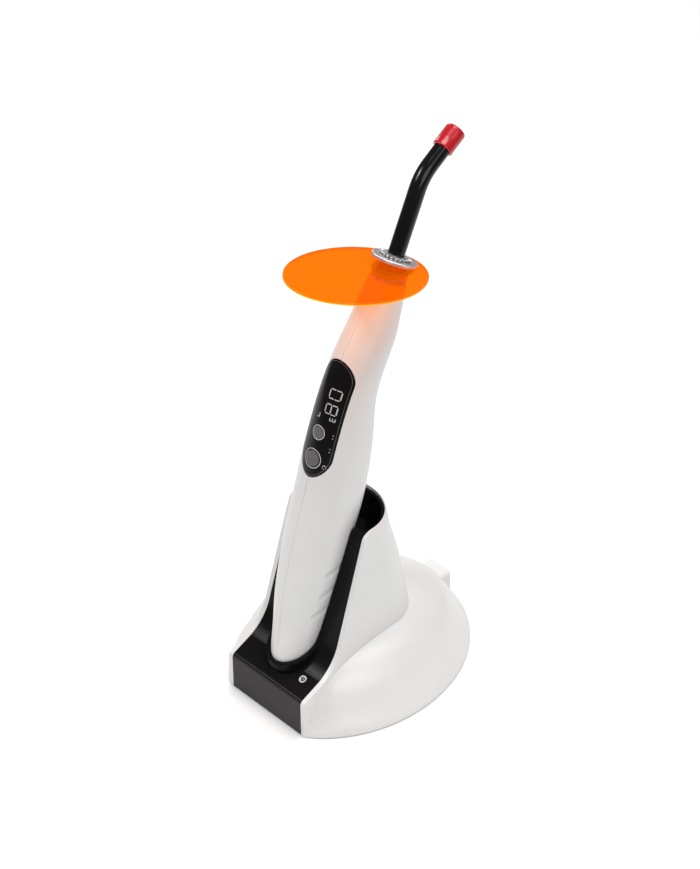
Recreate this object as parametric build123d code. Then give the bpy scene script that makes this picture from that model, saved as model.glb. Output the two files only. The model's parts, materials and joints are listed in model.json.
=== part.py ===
"""Cordless dental curing light standing in its charging stand.

Millimetres, +Z up.  The origin is the centre of the stand's oval footprint on the floor, -Y is
the front of the stand and the whole object is symmetric about the plane X = 0.
The handpiece is drawn in its own frame (Z along its axis, Y towards its back) and leans back in
the stand; the light guide is drawn in a third frame on the axis of the handpiece's head.
"""
from build123d import *
from functools import lru_cache
from math import cos, radians, sin, tan
import os

# --- stand: driving dimensions ---------------------------------------------------------------
FOOT_RX = 50.3            # half width of the oval footprint
FOOT_RY = 62.9            # half length of the full oval, before the front is cut flat
# one row per section of the dome: height, share of the footprint; the last is inside the tower
DOME_ROWS = (
    (0.0, 1.0),
    (8.0, 0.954),
    (17.0, 0.874),
    (24.0, 0.792),
    (28.0, 0.695),
    (30.3, 0.595),
    (31.6, 0.500),
    (32.4, 0.410),
)
FRONT_Y = -55.1           # flat front of the stand
SKIRT_Z = 0.6             # lower edge of the stand's walls
WALL = 2.3                # moulded wall of the white shell
# one row per section of the tower: height, half width, place of its back
TOWER_ROWS = (
    (-2.0, 24.92, 34.45),
    (60.0, 24.30, 21.15),
    (66.0, 24.25, 19.65),
    (70.0, 24.20, 18.50),
    (74.0, 24.17, 17.25),
    (78.0, 24.13, 15.95),
    (81.0, 24.10, 15.00),
    (84.0, 24.05, 14.10),
    (86.5, 24.00, 13.50),
    (88.5, 23.90, 13.10),
    (90.5, 23.75, 12.80),
    (92.0, 23.50, 12.55),
    (93.3, 23.15, 12.30),
    (94.5, 22.60, 11.95),
)
TOWER_TOP = 94.5
RIM_Z = 85.0              # the rim is solid above this height
INSERT_HALF = 22.6        # half width of the space for the black insert, at the floor
INSERT_TAPER = 0.010      # half width lost per millimetre of height
INSERT_BACK = 11.6
INSERT_GAP = 0.12         # gap between the white shell and the black insert
INSERT_WALL = 2.0
DECK_EDGE_Z = 20.5        # top edge of the black front face
DECK_FRONT = (-64.1, 16.9)  # the deck's plane carried forward, past the front face
FRONT_ROUND = 1.8         # rounding between the deck and the front face
DECK_BACK = (-43.0, 25.3)  # where the sloping deck meets the curve of the side walls
STRIP_FOOT = (-31.4, 39.2)  # where that curve becomes the straight front edge of the walls
STRIP_TOP = (-15.4, 91.0)
CREST_Y = -8.0            # the walls' outline reaches its full height here
SHELF_Z = 92.0
BOWL_CENTRE_Y = -8.0      # hollow at the top of the tower, behind the handpiece
BOWL_FRONT_Y = -11.6
BOWL_RX = 20.2
BOWL_RY = 18.2
BOWL_DEPTH = 15.0
BOWL_DRAFT = 2.0          # the bowl's floor is this much smaller all round
LIP_RISE = 5.4            # the lip around the pocket stands this far above the deck
LIP_WALL = 1.8
INLET_HALF = 7.2          # block at the back that holds the power inlet
INLET_BACK = 61.6
INLET_TOP = 17.0
JACK_Z = 9.0
PLATE_Z = 0.8
PLATE_T = 2.4
BASE_SCREWS = ((32.0, -18.0), (-32.0, -18.0), (28.0, 33.0), (-28.0, 33.0))

# --- handpiece: driving dimensions -----------------------------------------------------------
LEAN = 20.26              # lean of the handpiece's axis from the vertical
HAND_ORIGIN = (0.0, -42.53, 30.0)
HAND_WALL = 1.8
POCKET_GAP = 0.6          # clearance of the handpiece in its pocket
HAND_FOOT = -8.0          # lower end of the handpiece, along its own axis
FOOT_ROUND = 4.0
# one row per section: place along the axis, half width, half depth, offset towards the back
SECTIONS = (
    (-8.0, 7.2, 7.6, 3.8),
    (-4.0, 8.2, 8.8, 3.9),
    (2.0, 9.4, 10.2, 3.9),
    (10.0, 10.5, 11.5, 3.8),
    (24.0, 12.0, 13.2, 2.4),
    (45.0, 13.5, 14.8, 1.0),
    (64.0, 14.4, 16.0, 0.5),
    (82.0, 14.85, 16.3, 0.3),
    (100.0, 14.5, 15.9, -1.2),
    (115.0, 13.5, 14.7, -2.9),
    (131.0, 12.0, 12.9, -4.6),
    (149.0, 11.4, 11.9, -2.6),
)
# the head is round about the light guide's axis: place along that axis, radius
HEAD_SECTIONS = ((-30.0, 10.7), (-24.0, 10.0), (-17.0, 9.2), (-10.6, 8.4))
HEAD_END = -10.6
PANEL_LOW, PANEL_HIGH = 91.5, 146.3
PANEL_HALF = 8.7
PANEL_T = 1.3
PANEL_PROUD = 0.15
POWER_S, POWER_R = 100.4, 3.6
MODE_S, MODE_R = 112.8, 2.7
BUTTON_PROUD = 0.55
BUTTON_GAP = 0.25
# finger grips on each side: place along the handpiece, towards the back, half width there
NOTCHES = ((25.5, 2.3, 12.15), (36.0, 2.5, 12.9), (47.5, 2.0, 13.55))
NOTCH_R, NOTCH_DEPTH, NOTCH_SLANT = 2.4, 0.75, 60.0
BATTERY_R, BATTERY_L = 9.1, 49.0
BATTERY_S, BATTERY_B = 19.0, 2.6
BOARD_S, BOARD_L = 84.0, 60.0

# --- light guide, shield and cap -------------------------------------------------------------
GUIDE_LEAN = 25.1
GUIDE_ORIGIN = (0.0, 26.33, 209.5)
COLLAR_R, COLLAR_LOW, COLLAR_HIGH = 10.2, -1.95, 0.4
KNURLS = 40
FERRULE_R = 5.0
FERRULE_LOW = -21.0
SOCKET_GAP = 0.06
SOCKET_R = 6.9            # socket inside the head
NOSE_R = 6.1              # part of the socket that stands out of the head
RING_T = -15.5            # place of the retaining ring on the guide's axis
GUIDE_R = 3.75
CORE_R = 3.42             # fibre core inside the black jacket
GUIDE_STRAIGHT = 30.0
BEND_R = 21.0
BEND = 32.0
GUIDE_TIP = 17.6          # straight length past the bend
CAP_R, CAP_GAP, CAP_L, CAP_END = 4.72, 0.08, 10.6, 1.4
SHIELD_T = -4.1           # height of the shield's plate on the guide's axis
SHIELD_DROOP = 12.0
SHIELD_HALF_L, SHIELD_HALF_W = 35.6, 25.5
SHIELD_SHIFT = 22.0       # the plate's centre lies this far in front of the hub
SHIELD_THICK = 1.4
HUB_R, HUB_BORE = 7.8, 6.3
HUB_LOW, HUB_TOP = -9.6, -2.15
SEAT_R, SEAT_Z = 10.5, -2.1     # flat that clears the collar's disc

# --- places shared by several pieces -----------------------------------------------------------
DECK_SLOPE = 22.0
BEZEL_R, BEZEL_BORE = 1.8, 1.25
BEZEL_NECK_R = 1.4
LAMP_R = 1.15
CONTACT_X, CONTACT_B = 3.0, 3.8
BARREL_R = 1.2
BOARD_Z = PLATE_Z + PLATE_T + 2.2
SWITCH_TOP = -13.4        # top of a switch's plunger, in the handpiece's frame
SHELL_SCREWS = ((76.0, 1.0), (8.0, 3.6))
SCREW_SEAT = -5.0

HAND = Location(HAND_ORIGIN, (-LEAN, 0, 0))
GUIDE = Location(GUIDE_ORIGIN, (-GUIDE_LEAN, 0, 0))
GUIDE_IN_HAND = HAND.inverse() * GUIDE
DECK = Location((15.2, -46.2, 24.0), (DECK_SLOPE, 0, 0))
BEND_CORNER = GUIDE_STRAIGHT + BEND_R * tan(radians(BEND / 2))
TIP_RUN = BEND_R * tan(radians(BEND / 2)) + GUIDE_TIP
TIP_POINT = (0, TIP_RUN * sin(radians(BEND)), BEND_CORNER + TIP_RUN * cos(radians(BEND)))
TIP = GUIDE * Location(TIP_POINT, (-BEND, 0, 0))


# --- helpers -------------------------------------------------------------------------------------
def box(x0, x1, y0, y1, z0, z1):
    """A box between two corners."""
    return Pos((x0 + x1) / 2, (y0 + y1) / 2, (z0 + z1) / 2) * Box(x1 - x0, y1 - y0, z1 - z0)


def tube_z(r_out, r_in, z0, z1):
    """A ring about the Z axis."""
    return rod_z(r_out, z0, z1) - rod_z(r_in, z0 - 1, z1 + 1)


def rod_z(r, z0, z1):
    """A cylinder about the Z axis."""
    return Pos(0, 0, (z0 + z1) / 2) * Cylinder(r, z1 - z0)


def dome(inset):
    """The dome as a solid, moved inwards by the inset."""
    top = DOME_ROWS[-1][0]
    sections = []
    for z, share in DOME_ROWS:
        rx = FOOT_RX * share - inset * 1.15
        ry = FOOT_RY * share - inset * 1.15
        sections.append(Pos(0, 0, z - inset * z / top) * Ellipse(rx, ry))
    return loft(sections)


def outline(z, half, back):
    """A face at a height, with straight sides and a half-oval back."""
    centre = back - 0.91 * half
    front = FRONT_Y - 8
    straight = Pos(0, (front + centre) / 2, z) * Rectangle(2 * half, centre - front)
    shape = straight + Pos(0, centre, z) * Ellipse(half, back - centre)
    return make_face(shape.faces()[0].outer_wire())


def tower(inset, top):
    """The tower as a plain solid up to a height, moved inwards by the inset."""
    body = loft([outline(z, half - inset, back - inset) for z, half, back in TOWER_ROWS], ruled=True)
    return body & box(-80, 80, -90, 90, -5, top)


def insert_form(inset, z0, z1):
    """The form that the black insert fills, moved inwards by the inset."""
    ends = []
    for z in (z0, z1):
        ends.append(outline(z, INSERT_HALF - INSERT_TAPER * z - inset, INSERT_BACK - inset))
    return loft(ends)


def under_deck(rise):
    """Everything under the plane of the sloping deck, raised by a distance."""
    grade = (DECK_BACK[1] - DECK_FRONT[1]) / (DECK_BACK[0] - DECK_FRONT[0])
    corners = [
        (DECK_FRONT[0], DECK_FRONT[1] + rise),
        (DECK_BACK[0] + 20, DECK_BACK[1] + 20 * grade + rise),
        (DECK_BACK[0] + 20, -5),
        (DECK_FRONT[0], -5),
    ]
    return extrude(make_face(Plane.YZ * Polyline(*corners, close=True)), amount=60, both=True)


def side_profile(drop):
    """Everything under the stand's outline as it is seen from the side, lowered by the drop."""
    low = (FRONT_Y, DECK_EDGE_Z - FRONT_ROUND - drop)
    middle = (FRONT_Y + 0.254 * FRONT_ROUND, DECK_EDGE_Z - 0.172 * FRONT_ROUND - drop)
    high = (FRONT_Y + 0.93 * FRONT_ROUND, DECK_EDGE_Z + 0.37 * FRONT_ROUND - drop)
    lead = Line((DECK_FRONT[0], low[1] - 4), low)
    corner = ThreePointArc(low, middle, high)
    edge = Line(high, (DECK_BACK[0], DECK_BACK[1] - drop))
    curve = ThreePointArc(
        (DECK_BACK[0], DECK_BACK[1] - drop),
        (-35.5 + drop * 0.4, 31.6 - drop * 0.7),
        (STRIP_FOOT[0] + drop, STRIP_FOOT[1]),
    )
    strip = Line((STRIP_FOOT[0] + drop, STRIP_FOOT[1]), (STRIP_TOP[0] + drop, STRIP_TOP[1]))
    hook = Spline(
        (STRIP_TOP[0] + drop, STRIP_TOP[1]),
        (CREST_Y, TOWER_TOP - drop),
        tangents=((0.30, 0.95), (1, 0)),
    )
    rest = Polyline(
        (CREST_Y, TOWER_TOP - drop),
        (60, TOWER_TOP - drop),
        (60, -5),
        (DECK_FRONT[0], -5),
        (DECK_FRONT[0], low[1] - 4),
    )
    face = make_face(Plane.YZ * (lead + corner + edge + curve + strip + hook + rest))
    return extrude(face, amount=60, both=True)


@lru_cache
def hand_body(grow):
    """The handpiece's outer form, grown or shrunk all round."""
    sections = []
    for s, half, depth, offset in SECTIONS:
        place = s - grow if s == HAND_FOOT else s
        sections.append(Pos(0, offset, place) * Ellipse(half + grow, depth + grow))
    for t, r in HEAD_SECTIONS:
        place = t + grow if t == HEAD_END else t
        sections.append(GUIDE_IN_HAND * Pos(0, 0, place) * Circle(r + grow))
    body = loft(sections)
    foot = body.edges().sort_by(Axis.Z)[0]
    return fillet(foot, FOOT_ROUND + 0.5 * grow)


HAND_OUTER = hand_body(0)
HAND_INNER = hand_body(-HAND_WALL)
HAND_POCKET = hand_body(POCKET_GAP)
TOWER_HOLLOW = tower(WALL, RIM_Z)
INSERT_SPACE = insert_form(0, -2, TOWER_TOP + 4)


# --- stand -------------------------------------------------------------------------------------------
def base_shell():
    """White shell: oval dome, tower and inlet block in one moulding, open at the front."""
    body = tower(0, TOWER_TOP) & side_profile(0)
    body += dome(0)
    block = box(-INLET_HALF, INLET_HALF, 20, INLET_BACK, 0, INLET_TOP)
    block = fillet(block.edges().filter_by(Axis.Y).group_by(Axis.Z)[-1], 2.0)
    body += block
    body -= box(-80, 80, -90, FRONT_Y, -5, 120)
    body -= box(-80, 80, -90, 90, -5, SKIRT_Z)
    hollow = dome(WALL) + box(-INLET_HALF + 1.8, INLET_HALF - 1.8, 20, INLET_BACK - 1.8, -2, INLET_TOP - 1.8)
    body -= hollow
    body -= TOWER_HOLLOW
    body -= INSERT_SPACE
    bosses = Part()
    for x, y in BASE_SCREWS:
        bosses += Pos(x, y, 20) * Cylinder(3.1, 33.6)
    bosses &= dome(1.0)
    bosses -= box(-80, 80, -90, 90, -5, PLATE_Z + PLATE_T)
    body += bosses
    for x, y in BASE_SCREWS:
        body -= Pos(x, y, 0) * rod_z(1.3, 0, 15)
    return body - Pos(0, INLET_BACK, JACK_Z) * Rot(90, 0, 0) * Cylinder(4.3, 8)


def cradle_insert():
    """Black insert: front box, sloping deck, pocket with a raised lip, and the walls beside it."""
    body = insert_form(INSERT_GAP, SKIRT_Z, SHELF_Z + 0.9)
    body -= box(-80, 80, -90, FRONT_Y, -5, 120)
    body &= side_profile(0.05)
    body -= box(-80, 80, FRONT_Y + INSERT_WALL, 80, -5, PLATE_Z + PLATE_T + 0.2)
    body -= box(-80, 80, -30, 80, -5, 24)
    hollow = insert_form(INSERT_GAP + INSERT_WALL, -5, TOWER_TOP + 5) & side_profile(INSERT_WALL + 0.6)
    hollow -= box(-80, 80, -90, FRONT_Y + INSERT_WALL, -5, 120)
    hollow -= box(-80, 80, -90, 90, SHELF_Z - BOWL_DEPTH - INSERT_WALL, 120)
    hollow -= HAND * hand_body(POCKET_GAP + INSERT_WALL)
    body -= hollow
    lip = HAND * hand_body(POCKET_GAP + LIP_WALL) & under_deck(LIP_RISE)
    lip &= box(-16, 16, FRONT_Y + FRONT_ROUND, -30, DECK_EDGE_Z + 0.1, 40)
    body += lip
    floor = Pos(0, BOWL_CENTRE_Y, SHELF_Z - BOWL_DEPTH) * Ellipse(BOWL_RX - BOWL_DRAFT, BOWL_RY - BOWL_DRAFT)
    mouth = Pos(0, BOWL_CENTRE_Y, SHELF_Z + 2) * Ellipse(BOWL_RX, BOWL_RY)
    bowl = loft([floor, mouth]) & box(-30, 30, BOWL_FRONT_Y, 40, 0, 120)
    body -= bowl
    body -= HAND * HAND_POCKET
    for x in (-CONTACT_X, CONTACT_X):
        body -= HAND * Pos(x, CONTACT_B, -10) * Cylinder(BARREL_R + 0.03, 6)
    return body - DECK * rod_z(BEZEL_NECK_R + 0.05, -6, 6)


def indicator_bezel():
    """Bright ring around the charging indicator."""
    ring = tube_z(BEZEL_R, BEZEL_BORE, 0.05, 0.6) + tube_z(BEZEL_NECK_R, LAMP_R + 0.05, -3, 0.3)
    return DECK * ring


def indicator_led():
    """Charging indicator lamp with its domed end."""
    lamp = rod_z(LAMP_R, -4.5, -0.3) + Pos(0, 0, -0.3) * Sphere(LAMP_R)
    legs = Pos(0.6, 0, 0) * rod_z(0.25, -8, -4.4) + Pos(-0.6, 0, 0) * rod_z(0.25, -8, -4.4)
    return DECK * (lamp + legs)


def bottom_plate():
    """Closing plate under the stand, with counterbored screw holes."""
    z0, z1 = PLATE_Z, PLATE_Z + PLATE_T
    plate = Pos(0, 0, z0) * extrude(Ellipse(FOOT_RX - WALL - 1.6, FOOT_RY - WALL - 1.6), PLATE_T)
    plate -= box(-80, 80, -90, FRONT_Y + INSERT_WALL + 0.2, -5, 10)
    for x, y in BASE_SCREWS:
        plate -= Pos(x, y, 0) * (rod_z(1.7, 0, 5) + rod_z(3.1, 0, z0 + 1.4))
    for x in (-11, 11):
        for y in (36, 50):
            plate += Pos(x, y, 0) * rod_z(1.8, z1, z1 + 2.2)
    return plate


def foot_ring():
    """Soft ring under the bottom plate that the stand rests on."""
    ring = extrude(Ellipse(FOOT_RX - 6, FOOT_RY - 6), PLATE_Z)
    ring -= extrude(Ellipse(FOOT_RX - 10, FOOT_RY - 10), PLATE_Z)
    ring -= box(-80, 80, -90, FRONT_Y + 6, -5, 10)
    bar = extrude(Ellipse(FOOT_RX - 6, FOOT_RY - 6), PLATE_Z)
    bar &= box(-80, 80, FRONT_Y + 6, FRONT_Y + 10, -5, 10)
    return ring + bar


def base_screws():
    """Four self-tapping screws that hold the bottom plate."""
    screws = Part()
    for x, y in BASE_SCREWS:
        screw = rod_z(2.7, PLATE_Z + 0.2, PLATE_Z + 1.4) + rod_z(1.28, PLATE_Z + 1.4, 13)
        screw -= box(-2, 2, -0.4, 0.4, 0, PLATE_Z + 0.7)
        screws += Pos(x, y, 0) * screw
    return screws


def ballast_weight():
    """Steel block that keeps the stand from tipping back."""
    block = box(-17, 17, -12, 24, PLATE_Z + PLATE_T, PLATE_Z + PLATE_T + 9)
    return fillet(block.edges().filter_by(Axis.Z), 4)


def charger_board():
    """Circuit board behind the ballast, with its parts soldered on."""
    board = box(-14, 14, 27, 49.5, BOARD_Z, BOARD_Z + 1.6)
    top = BOARD_Z + 1.6
    board += box(-12, -5, 29, 34, top, top + 2.5) + box(4, 11, 29, 36, top, top + 1.6)
    board += Pos(9, 41, 0) * rod_z(2.5, top, top + 5)
    board += Pos(-9, 40, 0) * rod_z(3.0, top, top + 4)
    return board


def dc_jack():
    """Barrel power inlet in the block at the back."""
    y1 = INLET_BACK - 1.8 - 0.1
    body = box(-4.6, 4.6, y1 - 9.6, y1, BOARD_Z + 1.65, JACK_Z + 4.2)
    nose = Pos(0, y1 + 0.7, JACK_Z) * Rot(90, 0, 0) * Cylinder(4.1, 1.5)
    body += nose
    body -= Pos(0, y1 - 2, JACK_Z) * Rot(90, 0, 0) * Cylinder(2.8, 9)
    pin = Pos(0, y1 - 3.2, JACK_Z) * Rot(90, 0, 0) * Cylinder(1.05, 7.6)
    return body + fillet(pin.edges().sort_by(Axis.Y)[-1], 0.6)


def contact_block():
    """Moulded block under the pocket that holds the two charging pins."""
    block = box(-8, 8, CONTACT_B - 4, CONTACT_B + 4, -19.6, HAND_FOOT - POCKET_GAP - INSERT_WALL - 0.05)
    for x in (-CONTACT_X, CONTACT_X):
        block -= Pos(x, CONTACT_B, 0) * rod_z(BARREL_R, -25, 0)
    return HAND * block


def pin_barrels():
    """Two brass barrels that the charging pins slide in."""
    barrels = Part()
    for x in (-CONTACT_X, CONTACT_X):
        barrel = rod_z(BARREL_R, -21, -9.2) - rod_z(0.78, -19.5, -5)
        barrels += Pos(x, CONTACT_B, 0) * barrel
    return HAND * barrels


def charge_pin(x):
    """One sprung charging pin with a rounded tip."""
    pin = rod_z(0.7, -15.5, HAND_FOOT - 0.05)
    pin = fillet(pin.edges().sort_by(Axis.Z)[-1], 0.45)
    return HAND * Pos(x, CONTACT_B, 0) * pin


def contact_leads():
    """Two wires from the charger board, over the ballast, to the charging pins."""
    leads = Part()
    for x in (-CONTACT_X, CONTACT_X):
        end = (HAND * Pos(x, CONTACT_B, -21.1)).position
        points = [(x, 30, BOARD_Z + 2.4), (x, 25, 14.5), (x, -34, 14.5), (x, -38.5, 5.8), (x, end.Y, end.Z - 0.6)]
        path = FilletPolyline(*points, radius=2.5)
        leads += sweep(Plane(path @ 0, z_dir=path % 0) * Circle(0.6), path)
    return leads


# --- handpiece ------------------------------------------------------------------------------------------
def stadium(low, high, half):
    """Outline of the display panel, seen from the front, as a face in the X-Z plane."""
    mid = (low + high) / 2
    shape = Pos(0, mid) * Rectangle(2 * half, high - low - 2 * half * 1.05)
    shape += Pos(0, low + half * 1.05) * Ellipse(half, half * 1.05)
    shape += Pos(0, high - half * 1.05) * Ellipse(half, half * 1.05)
    return Plane.XZ * shape


def front_prism(face):
    """Extrude a face of the X-Z plane through the handpiece's front side."""
    return extrude(face, amount=40)


def front_disc(s, r):
    """A cylinder square to the handpiece's front, at a place along it."""
    return Pos(0, -20, s) * Rot(90, 0, 0) * Cylinder(r, 40)


def grip_notch(s, b, half, side):
    """A slanted scallop in the side of the handpiece, for the fingers."""
    place = Pos(side * (half + NOTCH_R - NOTCH_DEPTH), b, s)
    return place * Rot(-NOTCH_SLANT, 0, 0) * Cylinder(NOTCH_R, 30)


def shell_boss(s, b):
    """A screw boss across the handpiece, ended inside both walls."""
    boss = Pos(0, b, s) * Rot(0, 90, 0) * Cylinder(2.7, 40)
    return boss & hand_body(-HAND_WALL / 2)


def screw_hole(s, b):
    """Counterbore and clearance in the left half, pilot in the right half."""
    head = Pos(SCREW_SEAT - 10, b, s) * Rot(0, 90, 0) * Cylinder(2.05, 20)
    shank = Pos(0, b, s) * Rot(0, 90, 0) * Cylinder(0.98, 14)
    return head + shank


def hand_shell(side):
    """One half of the handpiece's casing, split on the plane of symmetry."""
    shell = HAND_OUTER - HAND_INNER
    shell -= GUIDE_IN_HAND * rod_z(SOCKET_R + 0.02, -24, 0)
    shell -= front_prism(stadium(PANEL_LOW - 0.15, PANEL_HIGH + 0.15, PANEL_HALF + 0.15))
    shell -= Pos(0, CONTACT_B, 0) * rod_z(6.0, HAND_FOOT - 2, HAND_FOOT + 4)
    for s, b in SHELL_SCREWS:
        shell += shell_boss(s, b)
        shell -= screw_hole(s, b)
    for s, b, half in NOTCHES:
        shell -= grip_notch(s, b, half, side)
    return HAND * (shell & box(min(0, 40 * side), max(0, 40 * side), -60, 60, -30, 220))


def shell_screws():
    """Screws that hold the two halves together, driven from the left."""
    screws = Part()
    for s, b in SHELL_SCREWS:
        turn = Rot(0, 90, 0)
        head = Pos(SCREW_SEAT - 0.8, b, s) * turn * Cylinder(1.95, 1.6)
        head -= Pos(SCREW_SEAT - 1.6, b, s) * turn * Cylinder(0.75, 1.6)
        screws += head + Pos(SCREW_SEAT + 5, b, s) * turn * Cylinder(0.95, 10)
    return HAND * screws


def display_window():
    """Glossy black panel let into the front of the handpiece, with holes for two buttons."""
    panel = hand_body(PANEL_PROUD) - hand_body(-PANEL_T)
    panel &= front_prism(stadium(PANEL_LOW, PANEL_HIGH, PANEL_HALF))
    panel -= front_disc(POWER_S, POWER_R + BUTTON_GAP) + front_disc(MODE_S, MODE_R + BUTTON_GAP)
    return HAND * (panel - display_strokes())


def bar(x, s, width, height):
    """One stroke of the display, cut straight back through the panel's face."""
    return Pos(x, -20, s) * Box(width, 40, height)


def digit(x, s, strokes):
    """A seven-stroke digit, lying along the handpiece, as a list of stroke letters."""
    across, along, thin = 2.6, 2.1, 0.55
    tall, wide = 2 * along - 0.5, across - 0.5
    places = {
        "a": (-across, 0, thin, tall), "g": (0, 0, thin, tall), "d": (across, 0, thin, tall),
        "f": (-across / 2, -along, wide, thin), "b": (-across / 2, along, wide, thin),
        "e": (across / 2, -along, wide, thin), "c": (across / 2, along, wide, thin),
    }
    group = Part()
    for letter in strokes:
        dx, ds, width, height = places[letter]
        group += bar(x + dx, s + ds, width, height)
    return group


def display_strokes():
    """All strokes of the display, as cutters in the handpiece's frame."""
    group = digit(3.3, 125.0, "abcdefg") + digit(3.3, 131.9, "abcdef")
    group += bar(-1.6, 120.2, 0.5, 1.8) + bar(-2.8, 120.2, 0.5, 1.8)
    skin = hand_body(PANEL_PROUD + 0.03) - hand_body(PANEL_PROUD - 0.25)
    return group & skin


def display_segments():
    """Light strokes of the display, flush in the panel's face."""
    return HAND * display_strokes()


def button(s, r, stem_r):
    """A round button that follows the panel's face, with a stem towards its switch."""
    cap = front_disc(s, r) & (hand_body(BUTTON_PROUD) - hand_body(-PANEL_T - 0.4))
    edge = cap.edges().filter_by(lambda e: e.length > 2 * r * 3).sort_by(Axis.Y)[0]
    cap = fillet(edge, 0.3)
    stem_end = SWITCH_TOP - 0.65
    stem = Pos(0, stem_end - 1.0, s) * Rot(90, 0, 0) * Cylinder(stem_r, 2.0)
    return HAND * (cap + stem)


def power_button():
    return button(POWER_S, POWER_R, 1.5)


def mode_button():
    return button(MODE_S, MODE_R, 1.2)


def main_board():
    """Control board behind the panel, with its parts soldered on."""
    board = box(-7.2, 7.2, -9.2, -8.2, BOARD_S, BOARD_S + BOARD_L)
    board += box(-4, 4, -8.2, -6.4, BOARD_S + 22, BOARD_S + 30)
    board += box(-6, -3, -8.2, -7.2, BOARD_S + 34, BOARD_S + 38)
    board += box(2, 6, -8.2, -6.7, BOARD_S + 36, BOARD_S + 44)
    board += box(-5, 5, -8.2, -5.4, BOARD_S + 50, BOARD_S + 56)
    return HAND * board


def display_module():
    """Display block on the board, just behind the panel."""
    block = box(-6.2, 6.2, -13.2, -9.25, 118, 134)
    return HAND * fillet(block.edges().filter_by(Axis.Y), 0.8)


def tact_switches():
    """The two switches under the buttons."""
    group = Part()
    for s in (POWER_S, MODE_S):
        group += box(-3, 3, SWITCH_TOP + 0.8, -9.25, s - 3, s + 3)
        group += Pos(0, SWITCH_TOP + 0.5, s) * Rot(90, 0, 0) * Cylinder(1.6, 1.0)
    return HAND * group


def buzzer():
    """Round buzzer on the back of the board."""
    can = Pos(0, -6.1, 92) * Rot(90, 0, 0) * Cylinder(4.5, 4.1)
    return HAND * (can - Pos(0, -4.2, 92) * Rot(90, 0, 0) * Cylinder(0.8, 1.2))


def battery():
    """Rechargeable cell along the handle."""
    cell = Pos(0, BATTERY_B, 0) * rod_z(BATTERY_R, BATTERY_S, BATTERY_S + BATTERY_L - 1)
    cell = fillet(cell.edges().filter_by(GeomType.CIRCLE), 0.8)
    return HAND * (cell + Pos(0, BATTERY_B, 0) * rod_z(3, BATTERY_S, BATTERY_S + BATTERY_L))


def battery_contacts():
    """Spring plate below the cell and flat plate above it."""
    top = BATTERY_S + BATTERY_L
    group = rod_z(6.5, top + 0.05, top + 0.6) + rod_z(6.5, BATTERY_S - 6.4, BATTERY_S - 5.9)
    coil = Helix(pitch=1.7, height=5.0, radius=3.6)
    start = Plane(coil @ 0, z_dir=coil % 0)
    coil_solid = sweep(start * Circle(0.4), coil, is_frenet=True)
    group += Pos(0, 0, BATTERY_S - 5.5) * coil_solid
    return HAND * Pos(0, BATTERY_B, 0) * group


def heat_sink():
    """Finned aluminium slug that carries the lamp."""
    slug = rod_z(7.5, -42, -25.6)
    for t in range(-40, -27, 3):
        slug -= tube_z(9, 5.6, t, t + 1.4)
    return GUIDE * slug


def led_emitter():
    """High-power lamp with its round board and dome lens."""
    lamp = rod_z(6.8, -25.55, -24.4) + Pos(0, 0, -23.9) * Box(3.6, 3.6, 1.0)
    dome_lens = Pos(0, 0, -23.4) * Sphere(1.6) & box(-5, 5, -5, 5, -23.5, -20)
    return GUIDE * (lamp + dome_lens)


def reflector():
    """Ring that gathers the lamp's light into the guide."""
    ring = rod_z(6.7, -24.35, -21.9)
    cone = Pos(0, 0, -23.1) * Cone(2.7, 4.6, 2.6)
    return GUIDE * (ring - cone)


def head_socket():
    """Metal socket in the head that takes the guide's ferrule."""
    socket = rod_z(SOCKET_R, -21.8, HEAD_END) + rod_z(7.7, HEAD_END + 0.02, -9.9)
    socket += rod_z(NOSE_R, HEAD_END, -2.3)
    socket -= rod_z(FERRULE_R + SOCKET_GAP, -30, 0)
    return GUIDE * (socket - rod_z(6.15, RING_T - 0.8, RING_T + 0.8))


def retaining_ring():
    """Ring in the socket's groove that holds the ferrule and turns with it."""
    return GUIDE * tube_z(6.05, FERRULE_R + 0.05, RING_T - 0.72, RING_T + 0.72)


def contact_cap():
    """End cap of the handpiece, with holes for its two charging contacts."""
    cap = HAND_OUTER & Pos(0, CONTACT_B, 0) * rod_z(5.95, HAND_FOOT - 2, HAND_FOOT + 3.4)
    for x in (-CONTACT_X, CONTACT_X):
        cap -= Pos(x, CONTACT_B, 0) * rod_z(1.3, HAND_FOOT - 2, HAND_FOOT + 5)
    return HAND * cap


def charge_contacts():
    """Two plated contacts in the end cap."""
    pads = Part()
    for x in (-CONTACT_X, CONTACT_X):
        pads += Pos(x, CONTACT_B, 0) * (rod_z(1.28, HAND_FOOT + 0.02, HAND_FOOT + 3.8))
    return HAND * pads


# --- light guide, shield and cap ---------------------------------------------------------------------
def guide_path():
    """Axis of the light guide: straight, then bent towards the back."""
    return FilletPolyline((0, 0, FERRULE_LOW), (0, 0, BEND_CORNER), TIP_POINT, radius=BEND_R)


def guide_core():
    """Glass-fibre core of the light guide."""
    return GUIDE * sweep(Pos(0, 0, FERRULE_LOW) * Circle(CORE_R), guide_path())


def guide_jacket():
    """Black jacket around the core."""
    ring = Circle(GUIDE_R) - Circle(CORE_R + 0.03)
    return GUIDE * sweep(Pos(0, 0, FERRULE_LOW) * ring, guide_path())


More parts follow.
